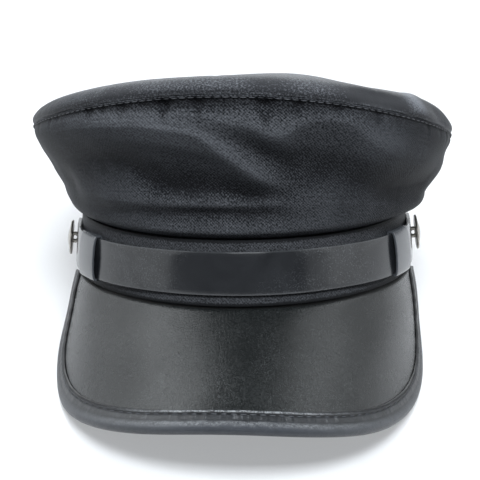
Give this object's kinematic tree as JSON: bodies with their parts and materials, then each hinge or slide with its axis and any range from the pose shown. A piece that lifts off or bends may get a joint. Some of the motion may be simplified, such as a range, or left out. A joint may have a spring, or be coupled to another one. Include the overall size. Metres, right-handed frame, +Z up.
{
  "type": "breton fisherman cap",
  "caption": "Soft-crowned cloth cap with a high front, stiff band, strap held by keepers and shank buttons, and a stiff sloping peak with a bound, rolled edge.",
  "frame": {"origin": "on the table under the middle of the cap's bounding box, with the cap standing on the corners of its peak and the back of its band", "axes": "the peak points along -Y, +X is to the right seen from the front, +Z is up"},
  "size_m": [0.2182, 0.2872, 0.1665],
  "materials": {
    "twill": "charcoal satin-faced twill, soft sheen",
    "grained_leather": "dark fine-grained leather, semi-matt",
    "smooth_leather": "dark smooth leather, satin gloss",
    "nickel": "warm nickel, worn satin"
  },
  "bodies": {
    "root": {"crown_front_panel": "twill", "crown_right_panel": "twill", "crown_left_panel": "twill", "crown_top": "twill", "band": "twill", "peak": "grained_leather", "peak_binding": "grained_leather", "strap": "smooth_leather", "keeper_left": "smooth_leather", "keeper_right": "smooth_leather", "button_left": "nickel", "button_right": "nickel"}
  },
  "joints": []
}
